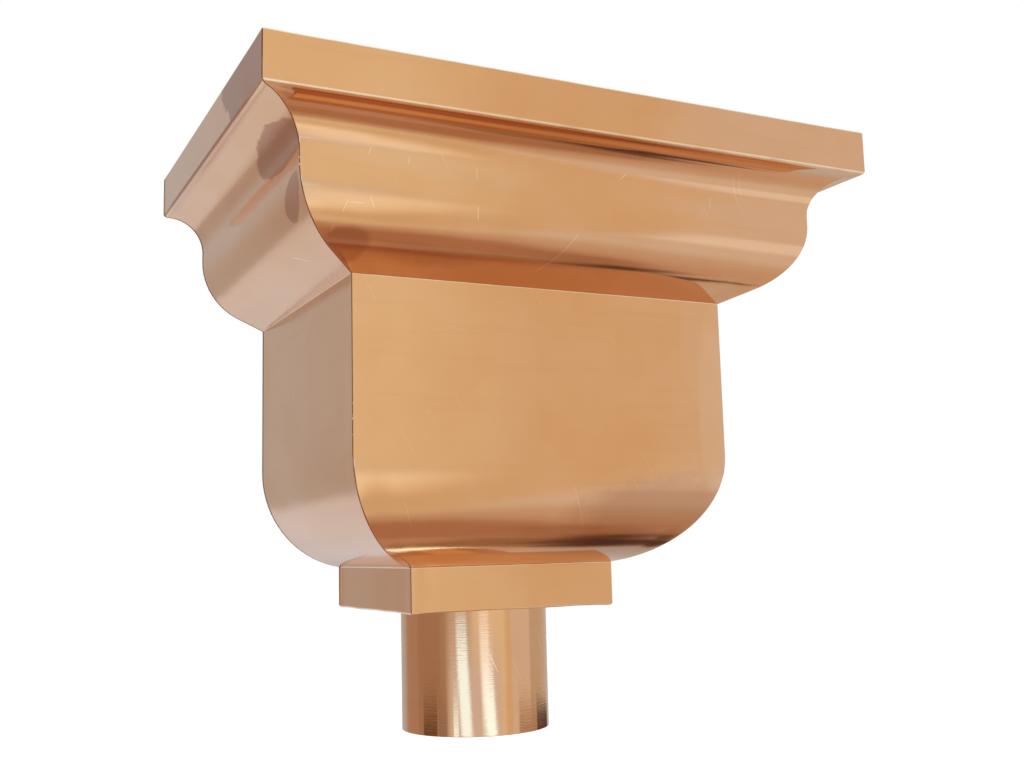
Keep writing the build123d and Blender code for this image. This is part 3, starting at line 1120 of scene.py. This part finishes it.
# Each patch has its middle, half size, softness of the edge, colour and lean.
for patch in (
    ((0, -5), (200, 48), (1, 14), (0.62, 0.60, 0.57)),  # walls all round
    ((180, 5), (40, 20), (10, 8), (0.53, 0.54, 0.56)),  # behind the hopper
    ((180, -30), (40, 15), (10, 6), (0.74, 0.80, 0.93)),
    ((-166, -15), (13, 5), (4, 2), (0.74, 0.80, 0.93)),
    ((-112, -8), (46, 16), (8, 8), (0.47, 0.36, 0.32)),  # wooden wall
    ((-101, -4), (22, 8), (3, 4), (0.43, 0.31, 0.26)),
    ((0, -90), (200, 42), (1, 10), (0.62, 0.48, 0.41)),  # floor
    ((0, -90), (200, 28), (1, 6), (0.55, 0.37, 0.30)),
    ((5, -12), (33, 48), (7, 6), (0.87, 0.86, 0.74)),  # cream wall in front
    ((7, -30), (21, 14), (4, 6), (1.12, 1.20, 1.18)),
    ((31, -8), (6.5, 45), (4, 6), (0.78, 0.70, 0.57)),
    ((54, -3), (18.4, 41), (0.5, 5), (0.77, 0.77, 0.82)),
    ((50, -22), (13, 7), (0.6, 2.5), (0.92, 1.00, 1.14)),
    ((72, -67), (23, 9), (4, 4), (0.47, 0.28, 0.20)),  # dark things on the floor
    ((112, -61.5), (14, 4), (5, 1.5), (0.36, 0.22, 0.14)),
    ((86, -60), (16, 2.6), (6, 1.4), (0.42, 0.26, 0.19)),
    ((106, -57.6), (11, 2.3), (4, 1), (0.11, 0.06, 0.045)),
    ((117, -53.5), (8, 3.6), (2, 1.2), (0.10, 0.05, 0.045)),
    ((138, -38), (14, 12.5), (4, 1.5), (0.60, 0.68, 0.80)),
    ((130, -60.3), (3.5, 1.5), (1.5, 0.8), (1.9, 2.4, 2.5)),
    ((-24, -20), (41, 15), (7, 1), (0.76, 0.82, 1.02)),  # wall with the windows
    ((-35.7, -10), (8.2, 6), (1.0, 0.5), (1.2, 1.95, 3.0), -1.63),  # windows
    ((-8, -6), (7, 2.7), (2, 0.6), (1.15, 1.4, 1.8), -0.8),
    ((1.8, -9.5), (8.4, 3.5), (1.0, 0.4), (1.3, 2.1, 3.2), -2.2),
    ((-54.5, -13), (4.0, 5.4), (0.8, 0.3), (1.2, 1.9, 2.7)),
    ((-99, -13), (13, 5.3), (0.8, 0.2), (0.14, 0.08, 0.05)),  # dark boxes low on either side
    ((-76, -13), (7, 5.3), (1, 0.3), (0.34, 0.27, 0.27)),
    ((66, -12), (19, 4.3), (2, 0.3), (0.45, 0.32, 0.26)),
    ((106, -13), (20, 5.6), (2, 0.3), (0.12, 0.08, 0.09)),
):
    room = patch_of_room(room, *patch)
rays = sky.nodes.new("ShaderNodeLightPath").outputs
plain, mirrored, backdrop = (
    add_node(sky, "ShaderNodeBackground", {"Color": colour, "Strength": 1.0})[0]
    for colour in (plain_level, room, white)
)
by_metal = most(sky, [rays["Is Glossy Ray"], rays["Is Transmission Ray"]])
inputs = {0: by_metal, 1: plain, 2: mirrored}
lighting = add_node(sky, "ShaderNodeMixShader", inputs)[0]
inputs = {0: rays["Is Camera Ray"], 1: lighting, 2: backdrop}
seen_world = add_node(sky, "ShaderNodeMixShader", inputs)[0]
add_node(sky, "ShaderNodeOutputWorld", {"Surface": seen_world})

# Camera: in front of the hopper, to its left and a little below it, looking up at the corner
# where the front meets the left side. Its turns are in degrees.
camera_place = (-0.26272, -0.62867, -0.17927)
camera_azimuth, camera_elevation, camera_roll = -26.75, -7.87, -1.45
camera = bpy.data.objects.new("camera", bpy.data.cameras.new("camera"))
bpy.context.scene.collection.objects.link(camera)
camera.data.sensor_width = 36.0
camera.data.lens = 41.30
camera.data.clip_start = 0.01
camera.matrix_world = (
    Matrix.Translation(camera_place)
    @ Matrix.Rotation(radians(camera_azimuth), 4, "Z")
    @ Matrix.Rotation(radians(90 - camera_elevation), 4, "X")
    @ Matrix.Rotation(radians(camera_roll), 4, "Z")
)
bpy.context.scene.camera = camera
bpy.context.scene.view_settings.view_transform = "Standard"
